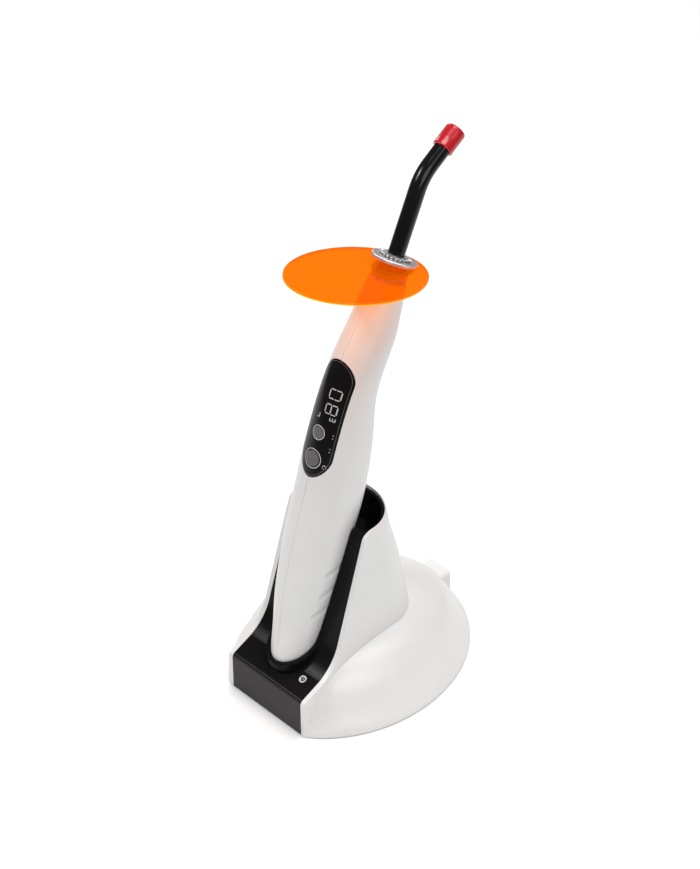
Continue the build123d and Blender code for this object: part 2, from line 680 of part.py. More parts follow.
def guide_collar():
    """Metal ferrule with its knurled collar."""
    collar = rod_z(COLLAR_R, COLLAR_LOW, COLLAR_HIGH - 0.5)
    collar = chamfer(collar.edges().sort_by(Axis.Z)[-1], 0.35)
    for i in range(KNURLS):
        collar -= Rot(0, 0, i * 360 / KNURLS) * Pos(COLLAR_R + 0.1, 0, 0) * rod_z(0.32, -3, 2)
    collar += rod_z(7.4, COLLAR_LOW, COLLAR_HIGH) + rod_z(5.0, COLLAR_LOW, COLLAR_HIGH + 0.9)
    collar += rod_z(FERRULE_R, FERRULE_LOW, COLLAR_LOW)
    return GUIDE * (collar - rod_z(GUIDE_R + 0.02, -40, 5))


def light_shield():
    """Orange oval shield: a drooping plate with an off-centre hub."""
    lean = Pos(0, 0, SHIELD_T) * Rot(SHIELD_DROOP, 0, 0)
    plate = extrude(Ellipse(SHIELD_HALF_W, SHIELD_HALF_L), SHIELD_THICK)
    plate = fillet(plate.edges(), 0.5)
    shield = lean * Pos(0, -SHIELD_SHIFT, -SHIELD_THICK / 2) * plate + rod_z(HUB_R, HUB_LOW, HUB_TOP)
    shield -= rod_z(SEAT_R, SEAT_Z, 5)
    return GUIDE * (shield - rod_z(HUB_BORE, -20, 5))


def tip_cap():
    """Red protective cap over the guide's tip."""
    cap = rod_z(CAP_R, CAP_END - CAP_L, CAP_END)
    cap = fillet(cap.edges().sort_by(Axis.Z)[-1], 1.2)
    return TIP * (cap - rod_z(GUIDE_R + CAP_GAP, -20, 0.05))


PARTS = {
    "base_shell": base_shell,
    "cradle_insert": cradle_insert,
    "indicator_bezel": indicator_bezel,
    "indicator_led": indicator_led,
    "bottom_plate": bottom_plate,
    "foot_ring": foot_ring,
    "base_screws": base_screws,
    "ballast_weight": ballast_weight,
    "charger_board": charger_board,
    "dc_jack": dc_jack,
    "contact_block": contact_block,
    "pin_barrels": pin_barrels,
    "charge_pin_left": lambda: charge_pin(-CONTACT_X),
    "charge_pin_right": lambda: charge_pin(CONTACT_X),
    "contact_leads": contact_leads,
    "left_shell": lambda: hand_shell(-1),
    "right_shell": lambda: hand_shell(1),
    "shell_screws": shell_screws,
    "display_window": display_window,
    "display_segments": display_segments,
    "display_module": display_module,
    "main_board": main_board,
    "tact_switches": tact_switches,
    "buzzer": buzzer,
    "power_button": power_button,
    "mode_button": mode_button,
    "battery": battery,
    "battery_contacts": battery_contacts,
    "heat_sink": heat_sink,
    "led_emitter": led_emitter,
    "reflector": reflector,
    "head_socket": head_socket,
    "retaining_ring": retaining_ring,
    "contact_cap": contact_cap,
    "charge_contacts": charge_contacts,
    "guide_core": guide_core,
    "guide_jacket": guide_jacket,
    "guide_collar": guide_collar,
    "light_shield": light_shield,
    "tip_cap": tip_cap,
}

if __name__ == "__main__":
    os.makedirs("parts", exist_ok=True)
    for name, make in PARTS.items():
        export_step(make(), f"parts/{name}.step")
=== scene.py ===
"""Cordless dental curing light in its charging stand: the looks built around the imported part.

Shapes are worked out in millimetres, in the frames the object has: the handpiece's (Z along its
axis, Y towards its back), the light guide's and the tip cap's.
"""
import bmesh
import bpy
import json
import math
import numpy as np
from mathutils import Matrix, Vector
from mathutils.bvhtree import BVHTree


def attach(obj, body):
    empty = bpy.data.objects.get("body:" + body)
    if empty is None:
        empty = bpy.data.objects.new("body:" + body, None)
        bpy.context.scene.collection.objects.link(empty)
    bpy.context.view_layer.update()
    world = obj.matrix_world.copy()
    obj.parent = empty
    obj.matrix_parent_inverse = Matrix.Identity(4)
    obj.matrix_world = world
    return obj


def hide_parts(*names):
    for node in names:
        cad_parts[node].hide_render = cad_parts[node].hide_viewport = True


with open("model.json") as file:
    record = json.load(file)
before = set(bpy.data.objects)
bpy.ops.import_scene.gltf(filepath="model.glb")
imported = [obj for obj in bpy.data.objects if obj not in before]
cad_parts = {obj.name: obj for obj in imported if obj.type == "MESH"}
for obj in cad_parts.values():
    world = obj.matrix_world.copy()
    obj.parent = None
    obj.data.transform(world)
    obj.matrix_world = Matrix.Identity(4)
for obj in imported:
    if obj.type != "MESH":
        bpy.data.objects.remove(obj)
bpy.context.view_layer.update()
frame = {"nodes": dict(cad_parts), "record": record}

# --- frames and dimensions, in millimetres and degrees -----------------------------------------
HAND = Matrix.Translation((0, -42.53, 30.0)) @ Matrix.Rotation(math.radians(-20.26), 4, "X")
GUIDE = Matrix.Translation((0, 26.33, 209.5)) @ Matrix.Rotation(math.radians(-25.1), 4, "X")
GUIDE_IN_HAND = HAND.inverted() @ GUIDE
BEND, BEND_R, STRAIGHT, TIP_RUN = math.radians(32), 21.0, 30.0, 17.6
# place along the handpiece, half width, half depth, offset towards the back
SECTIONS = (
    (-8.0, 7.2, 7.6, 3.8), (-4.0, 8.2, 8.8, 3.9), (2.0, 9.4, 10.2, 3.9), (10.0, 10.5, 11.5, 3.8),
    (24.0, 12.0, 13.2, 2.4), (45.0, 13.5, 14.8, 1.0), (64.0, 14.4, 16.0, 0.5),
    (82.0, 14.85, 16.3, 0.3), (100.0, 14.5, 15.9, -1.2), (115.0, 13.5, 14.7, -2.9),
    (131.0, 12.0, 12.9, -4.6), (149.0, 11.4, 11.9, -2.6),
)
HEAD_SECTIONS = ((-30.0, 10.7), (-24.0, 10.0), (-17.0, 9.2), (-10.6, 8.4))
FOOT_ROUND, FOOT_BORE, CONTACT_B = 4.0, 6.0, 3.8
NOTCHES = ((25.5, 2.3), (36.0, 2.5), (47.5, 2.0))
GRIP_DEPTH, GRIP_HALF_W, GRIP_HALF_L = 0.6, 1.9, 5.2
GRIP_SLANT = math.radians(30)
SEAM_DEPTH, CASING_WALL = 0.22, 1.8
PANEL_LOW, PANEL_HIGH, PANEL_HALF = 91.5, 146.3, 8.7
PANEL_TURN_HIGH, PANEL_TURN_LOW = 1.05 * PANEL_HALF, 1.3 * PANEL_HALF
PANEL_DEPTH, PANEL_RISE, PANEL_GAP = 1.15, 0.16, 0.12
POWER_S, POWER_R, MODE_S, MODE_R, BUTTON_GAP = 100.4, 3.6, 112.8, 2.7, 0.25
CUT_FRONT, PANEL_CUT, BUTTON_CUT = -45, -6, -5
DIGIT_REACH, DIGIT_STEP, DIGIT_THIN = 2.1, 2.6, 0.5
MARK_FOOT, MARK_TOP = 0.05, 0.185
GUIDE_R, GUIDE_BORE, GUIDE_ROOT = 3.75, 3.45, -21.0
KNURLS, KNURL_FROM, KNURL_DEPTH = 72, 10.0, 0.16
TEETH, CROWN_ROOT = 22, 5.7
SHIELD_T, SHIELD_DROOP = -4.1, math.radians(12)
SHIELD_HALF_W, SHIELD_HALF_L, SHIELD_SHIFT = 25.5, 35.6, 22.0
RIM_FROM, RIM_BAND = 0.988, 0.008
HUB_R, HUB_BORE, SEAT_R, SEAT_Z = 7.8, 6.3, 10.5, -2.1
FRONT_Y = -55.1
COLUMNS = 160


# --- mesh helpers --------------------------------------------------------------------------------
def mesh_object(name, points, faces, place):
    """A mesh object from points in millimetres, drawn in a frame."""
    mesh = bpy.data.meshes.new(name)
    mesh.from_pydata([(place @ Vector(p)) * 0.001 for p in points], [], faces)
    mesh.validate()
    mesh.update()
    fix = bmesh.new()
    fix.from_mesh(mesh)
    bmesh.ops.recalc_face_normals(fix, faces=fix.faces)
    fix.to_mesh(mesh)
    fix.free()
    mesh.polygons.foreach_set("use_smooth", [True] * len(mesh.polygons))
    piece = bpy.data.objects.new(name, mesh)
    bpy.context.scene.collection.objects.link(piece)
    return piece


def grid_faces(rows, columns, loop=False):
    """Quads between rings of points; a loop also joins the last ring to the first."""
    faces = []
    for i in range(rows if loop else rows - 1):
        n = (i + 1) % rows
        for j in range(columns):
            k = (j + 1) % columns
            faces.append((i * columns + j, i * columns + k, n * columns + k, n * columns + j))
    return faces


def tube(name, rings, place):
    """A skin over rings of equal length, with its ends filled."""
    rows, columns = len(rings), len(rings[0])
    points = [p for ring in rings for p in ring]
    faces = grid_faces(rows, columns)
    faces.append(tuple(range(columns)))
    faces.append(tuple(range((rows - 1) * columns, rows * columns)))
    return mesh_object(name, points, faces, place)


def looped(name, rings, place):
    """A skin over rings of equal length, with the last ring joined to the first."""
    points = [p for ring in rings for p in ring]
    return mesh_object(name, points, grid_faces(len(rings), len(rings[0]), loop=True), place)


def lathe(name, profile, place, columns=96, shape=None):
    """A closed profile of (radius, height) points turned about Z.

    shape(angle, radius) may vary the radius round the turn.
    """
    rings = []
    for r, z in profile:
        ring = []
        for j in range(columns):
            a = 2 * math.pi * j / columns
            q = shape(a, r) if shape else r
            ring.append((q * math.cos(a), q * math.sin(a), z))
        rings.append(ring)
    return looped(name, rings, place)


def solid_of(name, piece):
    """The piece's mesh with its modifiers applied, as a plain object."""
    graph = bpy.context.evaluated_depsgraph_get()
    mesh = bpy.data.meshes.new_from_object(piece.evaluated_get(graph))
    result = bpy.data.objects.new(name, mesh)
    bpy.context.scene.collection.objects.link(result)
    bpy.data.objects.remove(piece)
    return result


def boolean(piece, others, kind="DIFFERENCE"):
    """Cut the others out of the piece, or join them to it."""
    for other in others:
        step = piece.modifiers.new("cut", "BOOLEAN")
        step.operation, step.solver, step.object = kind, "EXACT", other
    name = piece.name
    piece.name = name + "_raw"
    result = solid_of(name, piece)
    for other in others:
        bpy.data.objects.remove(other)
    return result


def shade(piece, degrees=35):
    """Smooth shading that keeps edges sharper than an angle."""
    piece.data.polygons.foreach_set("use_smooth", [True] * len(piece.data.polygons))
    piece.data.set_sharp_from_angle(angle=math.radians(degrees))
    return piece


def natural_spline(knots, values, places):
    """Cubic interpolation through rows of values."""
    n = len(knots)
    h = np.diff(knots)
    system, right = np.eye(n), np.zeros((n,) + values.shape[1:])
    for i in range(1, n - 1):
        system[i, i - 1:i + 2] = h[i - 1], 2 * (h[i - 1] + h[i]), h[i]
        right[i] = 6 * ((values[i + 1] - values[i]) / h[i] - (values[i] - values[i - 1]) / h[i - 1])
    bend = np.linalg.solve(system, right.reshape(n, -1)).reshape(right.shape)
    found = []
    for u in places:
        i = min(max(int(np.searchsorted(knots, u)) - 1, 0), n - 2)
        a, b = (knots[i + 1] - u) / h[i], (u - knots[i]) / h[i]
        curve = ((a ** 3 - a) * bend[i] + (b ** 3 - b) * bend[i + 1]) * h[i] ** 2 / 6
        found.append(a * values[i] + b * values[i + 1] + curve)
    return np.array(found)


# --- handpiece casing ---------------------------------------------------------------------------
def seam_columns():
    """Angles of the casing's columns, with three close together at the front and back seams."""
    fine = [math.radians(base + step) for base in (90, 270) for step in (-0.55, 0.0, 0.55)]
    coarse = []
    for j in range(COLUMNS):
        angle = 360 * (j + 0.5) / COLUMNS
        if min(abs(angle - 90), abs(angle - 270)) > 1.0:
            coarse.append(math.radians(angle))
    return sorted(fine + coarse)


ANGLES = seam_columns()


def control_rings():
    """The rings that the casing's skin runs through, in the handpiece's frame."""
    rings, centres = [], []
    for s, half, depth, offset in SECTIONS:
        rings.append([(half * math.cos(a), offset + depth * math.sin(a), s) for a in ANGLES])
        centres.append(Vector((0, offset, s)))
    for t, r in HEAD_SECTIONS:
        ring = [GUIDE_IN_HAND @ Vector((r * math.cos(a), r * math.sin(a), t)) for a in ANGLES]
        rings.append([tuple(p) for p in ring])
        centres.append(GUIDE_IN_HAND @ Vector((0, 0, t)))
    places = [0.0]
    for before, after in zip(centres, centres[1:]):
        places.append(places[-1] + (after - before).length)
    return np.array(places), np.array(rings)


KNOTS, CONTROL = control_rings()


def rings_at(places):
    """Rings of the casing's outside at distances along it from the foot."""
    return natural_spline(KNOTS, CONTROL, places)


def inset_ring(ring, inset):
    """A ring moved towards its centre."""
    centre = ring.mean(axis=0)
    arms = ring - centre
    lengths = np.linalg.norm(arms, axis=1, keepdims=True)
    return centre + arms * (1 - inset / lengths)


def press_notches(ring):
    """Press the slanted finger grips into both sides of a ring."""
    rise, run = math.sin(GRIP_SLANT), math.cos(GRIP_SLANT)
    for s0, b0 in NOTCHES:
        across = (ring[:, 2] - s0) * run - (ring[:, 1] - b0) * rise
        along = (ring[:, 2] - s0) * rise + (ring[:, 1] - b0) * run
        bowl = np.clip(1 - (across / GRIP_HALF_W) ** 2, 0, 1)
        bowl *= np.clip(1 - (along / GRIP_HALF_L) ** 2, 0, 1)
        side = np.abs(ring[:, 0]) > 7
        ring[:, 0] -= np.sign(ring[:, 0]) * np.where(side, GRIP_DEPTH * np.sqrt(bowl), 0)
    return ring


def seam(ring):
    """Press the seam's groove into the front and back of a ring."""
    centre = ring.mean(axis=0)
    for j, angle in enumerate(ANGLES):
        if abs(math.cos(angle)) < 1e-6:
            arm = ring[j] - centre
            ring[j] = centre + arm * (1 - SEAM_DEPTH / np.linalg.norm(arm))
    return ring


def casing():
    """The handpiece's white casing, open for the panel, the end cap and the socket."""
    outside = []
    for degrees in (0, 12, 24, 36, 48, 60, 72, 90):
        angle = math.radians(degrees)
        ring = rings_at([FOOT_ROUND * (1 - math.cos(angle))])[0]
        outside.append(inset_ring(ring, FOOT_ROUND * (1 - math.sin(angle))))
    places = []
    # the rings are closest at the finger grips
    for start, end, step in ((5, 26, 1.0), (26, 64, 0.6), (64, KNOTS[-1], 1.2)):
        places += list(np.arange(start, end, step))
    for ring in rings_at(places + [KNOTS[-1]]):
        outside.append(press_notches(ring))
    outside = [seam(ring) for ring in outside]
    inside = [inset_ring(outside[i], CASING_WALL) for i in range(len(outside) - 1, -1, -3)]
    body = looped("handpiece_casing", outside + inside, HAND)
    opening = prism("panel_opening", panel_outline(PANEL_GAP), CUT_FRONT, PANEL_CUT)
    foot_place = HAND @ Matrix.Translation((0, CONTACT_B, 0))
    foot = lathe("foot_opening", ((0.01, -12), (FOOT_BORE, -12), (FOOT_BORE, -4), (0.01, -4)), foot_place)
    return shade(boolean(body, [opening, foot]), 40)


def casing_tree():
    """The casing's plain outside, to lay pieces on, in the handpiece's frame."""
    rings = rings_at(np.arange(0, KNOTS[-1], 1.0))
    points = [tuple(p) for ring in rings for p in ring]
    return BVHTree.FromPolygons(points, grid_faces(len(rings), len(ANGLES)))


SKIN = casing_tree()


def front_at(x, s):
    """Y of the casing's front at a place across and along it."""
    hit = SKIN.ray_cast(Vector((x, -60, s)), Vector((0, 1, 0)))[0]
    return hit.y


def prism(name, outline, y0, y1):
    """An outline in X and S carried straight through the handpiece's front."""
    count = len(outline)
    points = [(x, y, s) for y in (y0, y1) for x, s in outline]
    faces = grid_faces(2, count) + [tuple(range(count)), tuple(range(count, 2 * count))]
    return mesh_object(name, points, faces, HAND)


# --- pieces laid on the casing ------------------------------------------------------------------
def panel_shape(grow):
    """Outline of the panel, each place with the middle it is drawn from: (x, s, middle)."""
    count, side = 40, 36
    half = PANEL_HALF + grow
    high, low = PANEL_HIGH - PANEL_TURN_HIGH, PANEL_LOW + PANEL_TURN_LOW
    shape = []
    for i in range(count + 1):
        a = math.pi * i / count
        s = high + (PANEL_TURN_HIGH + grow) * math.sin(a)
        shape.append((half * math.cos(a), s, (0.0, high)))
    for i in range(1, side):
        s = high + (low - high) * i / side
        shape.append((-half, s, (0.0, s)))
    for i in range(count + 1):
        a = math.pi * i / count
        across, down = abs(math.cos(a)) ** 1.12, abs(math.sin(a)) ** 1.12
        x = -half * math.copysign(across, math.cos(a))
        shape.append((x, low - (PANEL_TURN_LOW + grow) * down, (0.0, low)))
    for i in range(1, side):
        s = low + (high - low) * i / side
        shape.append((half, s, (0.0, s)))
    return shape


def panel_outline(grow):
    """The panel's outline alone."""
    return [(x, s) for x, s, middle in panel_shape(grow)]


def circle_shape(x0, s0, r):
    """A round outline about a place on the front, each place with the middle it is drawn from."""
    count = 56
    shape = []
    for i in range(count):
        a = 2 * math.pi * i / count
        shape.append((x0 + r * math.cos(a), s0 + r * math.sin(a), (x0, s0)))
    return shape


def laid(name, shape, rows, loop=False):
    """A closed piece that follows the casing's front.

    Each row gives a share of the outline and a height over the casing.
    """
    points = []
    for share, height in rows:
        for x, s, (cx, cs) in shape:
            px, ps = cx + (x - cx) * share, cs + (s - cs) * share
            points.append((px, front_at(px, ps) - height, ps))
    piece = mesh_object(name, points, grid_faces(len(rows), len(shape), loop), HAND)
    weld = bmesh.new()
    weld.from_mesh(piece.data)
    bmesh.ops.remove_doubles(weld, verts=weld.verts, dist=1e-7)
    bmesh.ops.recalc_face_normals(weld, faces=weld.faces)
    weld.to_mesh(piece.data)
    weld.free()
    return shade(piece)


def join(name, pieces):
    """Several pieces as one object."""
    whole = bmesh.new()
    for piece in pieces:
        whole.from_mesh(piece.data)
        bpy.data.objects.remove(piece)
    mesh = bpy.data.meshes.new(name)
    whole.to_mesh(mesh)
    whole.free()
    piece = bpy.data.objects.new(name, mesh)
    bpy.context.scene.collection.objects.link(piece)
    return shade(piece)


def front_rod(name, s, r):
    """A cylinder square to the front, to cut a button's hole."""
    outline = [(x, t) for x, t, middle in circle_shape(0, s, r + BUTTON_GAP)]
    return prism(name, outline, CUT_FRONT, BUTTON_CUT)


def panel():
    """Glossy black panel with a rolled edge and two button holes."""
    edge = [(1.0, -PANEL_DEPTH), (1.0, -0.02), (0.994, 0.07), (0.982, 0.13), (0.965, PANEL_RISE)]
    face = [(share, PANEL_RISE) for share in (0.93, 0.85, 0.7, 0.55, 0.4, 0.25, 0.12, 0.0)]
    back = [(share, -PANEL_DEPTH) for share in (0.0, 0.12, 0.25, 0.4, 0.55, 0.7, 0.85)]
    plate = laid("display_panel", panel_shape(0), back + edge + face)
    holes = [front_rod("hole_a", POWER_S, POWER_R), front_rod("hole_b", MODE_S, MODE_R)]
    return shade(boolean(plate, holes))


def button_cap(name, s, r):
    """A slightly dished round button."""
    side = [(0.0, -1.0), (1.0, -1.0), (1.0, 0.32), (0.985, 0.42), (0.95, 0.5)]
    top = [(0.88, 0.54), (0.7, 0.5), (0.35, 0.44), (0.0, 0.42)]
    return laid(name, circle_shape(0, s, r), side + top)


def raised_ring(name, x, s, r, width, height):
    """A thin raised ring on the panel."""
    inner = (r - width / 2) / (r + width / 2)
    shoulder = 0.1 + height * 0.6
    top = ((1 + inner) / 2, PANEL_RISE + height)
    rows = [(1.0, MARK_FOOT), (1.0, shoulder), top, (inner, shoulder), (inner, MARK_FOOT)]
    return laid(name, circle_shape(x, s, r + width / 2), rows, loop=True)


def stroke(x, s, width, height):
    """A light stroke of the display, flush with the panel's face."""
    a, b = width / 2, height / 2
    nip = min(a, b)
    if width > height:
        outline = [(-a, 0), (-a + nip, -b), (a - nip, -b), (a, 0), (a - nip, b), (-a + nip, b)]
    else:
        outline = [(0, -b), (a, -b + nip), (a, b - nip), (0, b), (-a, b - nip), (-a, -b + nip)]
    shape = [(x + dx, s + ds, (x, s)) for dx, ds in outline]
    rows = [(0.0, MARK_FOOT), (1.0, MARK_FOOT), (1.0, MARK_TOP), (0.0, MARK_TOP)]
    return laid("stroke", shape, rows)


def display_digit(x, s, lit):
    """Seven-stroke digit that reads along the handpiece."""
    reach, step = DIGIT_REACH, DIGIT_STEP
    cross, side = (DIGIT_THIN, reach * 1.7), (step - 0.3, DIGIT_THIN)
    strokes = {
        "a": (-step, 0, *cross),
        "b": (-step / 2, reach, *side),
        "c": (step / 2, reach, *side),
        "d": (step, 0, *cross),
        "e": (step / 2, -reach, *side),
        "f": (-step / 2, -reach, *side),
        "g": (0, 0, *cross),
    }
    pieces = []
    for letter in lit:
        dx, ds, width, height = strokes[letter]
        pieces.append(stroke(x + dx, s + ds, width, height))
    return pieces


def display_marks():
    """All the light strokes and small signs of the display."""
    pieces = display_digit(3.3, 125.0, "abcdefg") + display_digit(3.3, 131.9, "abcdef")
    for x in (3.9, 5.0, 6.1):
        pieces.append(stroke(x, 120.9, 0.38, 1.3))
    pieces.append(stroke(5.0, 120.1, 2.6, 0.38))
    pieces.append(stroke(-1.6, 120.6, 0.4, 2.2))
    pieces.append(stroke(-2.5, 119.6, 1.1, 0.4))
    for s in (114.0, 112.6, 107.6, 106.2):
        pieces.append(stroke(6.9, s, 0.5, 0.5))
    pieces.append(stroke(6.35, 99.3, 0.26, 0.9))
    return join("display_marks", pieces)


def panel_border():
    """Fine line just inside the panel's edge."""
    rows = [(0.925, 0.12), (0.922, 0.19), (0.908, 0.19), (0.905, 0.12)]
    return laid("panel_border", panel_shape(0), rows, loop=True)


# --- light guide, shield and cap -----------------------------------------------------------------
def guide_ring(distance, r):
    """A ring of the light guide at a distance along its axis from the collar."""
    columns = 48
    arc = BEND_R * BEND
    if distance <= STRAIGHT:
        y, z, lean = 0.0, distance, 0.0
    elif distance <= STRAIGHT + arc:
        lean = (distance - STRAIGHT) / BEND_R
        y, z = BEND_R * (1 - math.cos(lean)), STRAIGHT + BEND_R * math.sin(lean)
    else:
        run = distance - STRAIGHT - arc
        lean = BEND
        y = BEND_R * (1 - math.cos(lean)) + run * math.sin(lean)
        z = STRAIGHT + BEND_R * math.sin(lean) + run * math.cos(lean)
    ring = []
    for j in range(columns):
        a = 2 * math.pi * j / columns
        u, v = r * math.cos(a), r * math.sin(a)
        ring.append((u, y + v * math.cos(lean), z - v * math.sin(lean)))
    return ring


GUIDE_END = STRAIGHT + BEND_R * BEND + TIP_RUN
TIP_PLACE = Vector((0, BEND_R * (1 - math.cos(BEND)) + TIP_RUN * math.sin(BEND),
                    STRAIGHT + BEND_R * math.sin(BEND) + TIP_RUN * math.cos(BEND)))
TIP = GUIDE @ Matrix.Translation(TIP_PLACE) @ Matrix.Rotation(-BEND, 4, "X")


def light_guide():
    """Black jacket of the light guide with rounded ends."""
    steps = 16
    bend = [STRAIGHT + BEND_R * BEND * i / steps for i in range(steps + 1)]
    path = [(GUIDE_ROOT, 3.6), (GUIDE_ROOT + 0.2, GUIDE_R), (0.0, GUIDE_R), (15.0, GUIDE_R)]
    path += [(distance, GUIDE_R) for distance in bend]
    path += [(GUIDE_END - 8, GUIDE_R), (GUIDE_END - 0.15, GUIDE_R)]
    path += [(GUIDE_END, 3.6), (GUIDE_END, 3.46), (GUIDE_END - 3, GUIDE_BORE)]
    path += [(distance, GUIDE_BORE) for distance in reversed(bend)]
    path.append((GUIDE_ROOT, GUIDE_BORE))
    rings = [guide_ring(distance, r) for distance, r in path]
    return shade(looped("light_guide_jacket", rings, GUIDE), 50)


def knurl(angle, r):
    """Fine knurl on the collar's edge."""
    if r > KNURL_FROM:
        return r - KNURL_DEPTH * (0.5 + 0.5 * math.cos(KNURLS * angle)) ** 0.6
    return r


def teeth(angle, r):
    """Teeth round the crown at the foot of the guide."""
    if r > CROWN_ROOT:
        gap = 0.5 - 0.5 * math.tanh(4 * (math.cos(TEETH * angle) - 0.2))
        return r - (r - CROWN_ROOT) * gap
    return r


def collar():
    """Metal ferrule with its knurled disc."""
    ferrule = [(3.78, -21), (4.85, -21), (5.0, -20.85), (5.0, -2.05), (5.1, -1.95), (9.75, -1.95)]
    rim = [(10.02, -1.78), (10.19, -1.6), (10.19, -1.2), (10.19, -0.8), (10.19, -0.45), (10.02, -0.22)]
    top = [(9.7, -0.12), (9.3, -0.16), (8.9, -0.22), (8.0, -0.22), (7.5, -0.1), (7.3, 0.05)]
    profile = ferrule + rim + top + [(4.5, 0.05), (3.78, 0.05)]
    return shade(lathe("guide_collar_metal", profile, GUIDE, 6 * KNURLS, knurl), 40)


def crown():
    """Serrated ring round the foot of the guide."""
    outer = [(3.8, 0.0), (7.05, 0.0), (7.1, 0.12), (7.1, 0.5), (7.0, 0.82), (6.75, 0.95), (6.4, 1.0)]
    inner = [(5.4, 1.02), (5.2, 1.08), (4.9, 1.25), (4.3, 1.28), (3.8, 1.15)]
    return shade(lathe("collar_crown", outer + inner, GUIDE, 20 * TEETH, teeth), 40)


def crown_bed():
    """Dark ring that the crown's teeth stand on."""
    return shade(lathe("crown_bed", ((5.2, -0.3), (7.2, -0.3), (7.2, 0.2), (5.2, 0.2)), GUIDE), 40)


def shield():
    """Orange oval shield with its hub, and the numbers that its material reads from the mesh."""
    plate_place = GUIDE @ Matrix.Translation((0, 0, SHIELD_T)) @ Matrix.Rotation(SHIELD_DROOP, 4, "X")
    under = [(0.02, -0.7), (0.3, -0.7), (0.6, -0.7), (0.9, -0.7)]
    under += [(0.985, -0.7), (0.994, -0.62), (0.9985, -0.4)]
    rim = [(1.0, -0.15), (1.0, 0.15)]
    rings = []
    for share, z in under + rim + [(share, -z) for share, z in reversed(under)]:
        ring = []
        for j in range(144):
            a = 2 * math.pi * j / 144
            x, y = SHIELD_HALF_W * share * math.cos(a), SHIELD_HALF_L * share * math.sin(a)
            ring.append((x, y - SHIELD_SHIFT, z))
        rings.append(ring)
    plate = tube("orange_shield", rings, plate_place)
    hub_profile = ((4.0, -9.6), (7.6, -9.6), (HUB_R, -9.4), (HUB_R, -2.4), (7.55, -2.15), (4.0, -2.15))
    whole = boolean(plate, [lathe("hub", hub_profile, GUIDE)], "UNION")
    bore_profile = ((0.01, -20), (HUB_BORE, -20), (HUB_BORE, SEAT_Z))
    bore_profile += ((SEAT_R, SEAT_Z), (SEAT_R, 6), (0.01, 6))
    whole = shade(boolean(whole, [lathe("bore", bore_profile, GUIDE)]), 35)
    # masks the material reads: edge marks the rim, where the painted glow turns yellower; under marks the
    # underside, whose strong painted glow lights the neck orange
    edge = whole.data.attributes.new("edge", "FLOAT", "POINT")
    # core marks the hub, which the material paints dark brown as painted shade of the metal inside it
    core = whole.data.attributes.new("core", "FLOAT", "POINT")
    below = whole.data.attributes.new("under", "FLOAT", "POINT")
    to_plate, to_guide = plate_place.inverted(), GUIDE.inverted()
    for vertex in whole.data.vertices:
        p, q = to_plate @ (vertex.co * 1000), to_guide @ (vertex.co * 1000)
        share = math.hypot(p.x / SHIELD_HALF_W, (p.y + SHIELD_SHIFT) / SHIELD_HALF_L)
        edge.data[vertex.index].value = min(max((share - RIM_FROM) / RIM_BAND, 0), 1)
        core.data[vertex.index].value = float(math.hypot(q.x, q.y) < HUB_R + 0.2 and p.z < -0.6)
        below.data[vertex.index].value = float(p.z < 0)
    return whole


def cap():
    """Red cap over the guide's tip."""
    profile = [(3.84, -9.2), (4.55, -9.2), (4.7, -9.1), (4.74, -8.9), (4.74, -8.3)]
    profile += [(4.66, -8.1), (4.66, -4.0), (4.64, 0.0)]
    for degrees in range(0, 100, 10):
        a = math.radians(degrees)
        profile.append((3.34 + 1.3 * math.cos(a), 0.1 + 1.3 * math.sin(a)))
    profile += [(2.0, 1.4), (0.01, 1.4), (0.01, 0.06), (3.6, 0.06), (3.84, -0.2)]
    return shade(lathe("red_tip_cap", profile, TIP), 50)


# --- materials ------------------------------------------------------------------------------------
def new_material(name):
    """An empty principled material."""
    made = bpy.data.materials.new(name)
    made.use_nodes = True
    return made, made.node_tree, made.node_tree.nodes["Principled BSDF"]


def noise(tree, scale, detail, stretch=(1, 1, 1)):
    """A noise pattern on the object's own coordinates."""
    place = tree.nodes.new("ShaderNodeTexCoord")
    mapping = tree.nodes.new("ShaderNodeMapping")
    mapping.inputs["Scale"].default_value = stretch
    pattern = tree.nodes.new("ShaderNodeTexNoise")
    pattern.inputs["Scale"].default_value = scale
    pattern.inputs["Detail"].default_value = detail
    tree.links.new(place.outputs["Object"], mapping.inputs["Vector"])
    tree.links.new(mapping.outputs["Vector"], pattern.inputs["Vector"])
    return pattern.outputs["Fac"]


def spread(tree, value, low, high, start=0.3, end=0.7):
    """A value carried from one range to another."""
    step = tree.nodes.new("ShaderNodeMapRange")
    for name, number in (("From Min", start), ("From Max", end), ("To Min", low), ("To Max", high)):
        step.inputs[name].default_value = number
    tree.links.new(value, step.inputs["Value"])
    return step.outputs["Result"]


def blend(tree, value, first, second):
    """A colour between two, by a value."""
    ramp = tree.nodes.new("ShaderNodeValToRGB")
    ramp.color_ramp.elements[0].position, ramp.color_ramp.elements[1].position = 0.3, 0.7
    ramp.color_ramp.elements[0].color, ramp.color_ramp.elements[1].color = (*first, 1), (*second, 1)
    tree.links.new(value, ramp.inputs["Fac"])
    return ramp.outputs["Color"]


def bump(tree, shader, value, depth):
    """Relief on the shader's normal, its depth in metres."""
    step = tree.nodes.new("ShaderNodeBump")
    step.inputs["Strength"].default_value = 0.35
    step.inputs["Distance"].default_value = depth
    tree.links.new(value, step.inputs["Height"])
    tree.links.new(step.outputs["Normal"], shader.inputs["Normal"])


def surface(name, first, second, rough, grain, depth, metal=0.0, coat=0.0, specular=0.5, patches=40):
    """A finished surface: two close tones in soft patches, uneven roughness and fine relief."""
    made, tree, shader = new_material(name)
    tree.links.new(blend(tree, noise(tree, patches, 2.0), first, second), shader.inputs["Base Color"])
    uneven = noise(tree, patches * 4, 4.0)
    tree.links.new(spread(tree, uneven, rough * 0.85, rough * 1.2), shader.inputs["Roughness"])
    bump(tree, shader, noise(tree, grain, 2.0), depth)
    shader.inputs["Metallic"].default_value = metal
    shader.inputs["Coat Weight"].default_value = coat
    shader.inputs["Coat Roughness"].default_value = 0.08
    shader.inputs["Specular IOR Level"].default_value = specular
    return made


